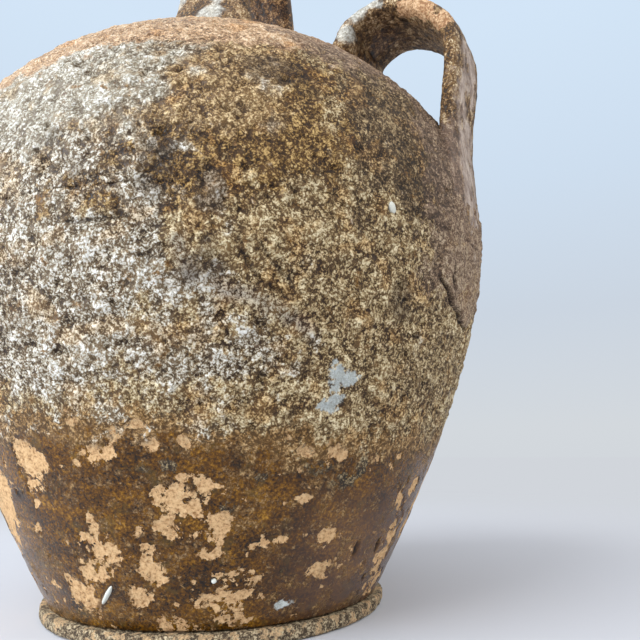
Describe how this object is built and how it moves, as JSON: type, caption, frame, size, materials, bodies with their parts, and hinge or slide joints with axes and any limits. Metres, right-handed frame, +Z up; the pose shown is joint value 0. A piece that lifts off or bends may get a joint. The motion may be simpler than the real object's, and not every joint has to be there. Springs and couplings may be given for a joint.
{
  "type": "botijo",
  "caption": "Fired clay botijo water jug with an oval two-tone body, a strap handle over its top, a strap handle at its side, a filling mouth and a spout.",
  "frame": {"origin": "centre of the foot disc's underside", "axes": "+Z up along the body's axis, +X towards the side handle, so -X towards the spout"},
  "size_m": [0.2637, 0.26, 0.371],
  "materials": {
    "gritty_clay": "rough",
    "honey_glaze": "glossy, flaked to buff clay",
    "stained_clay": "matt, granular",
    "smoked_clay": "satin"
  },
  "bodies": {
    "root": {"foot_disc": "gritty_clay", "lower_body": "honey_glaze", "upper_body": "stained_clay", "filling_mouth": "stained_clay", "spout": "stained_clay", "top_handle": "smoked_clay", "side_handle": "smoked_clay"}
  },
  "joints": []
}
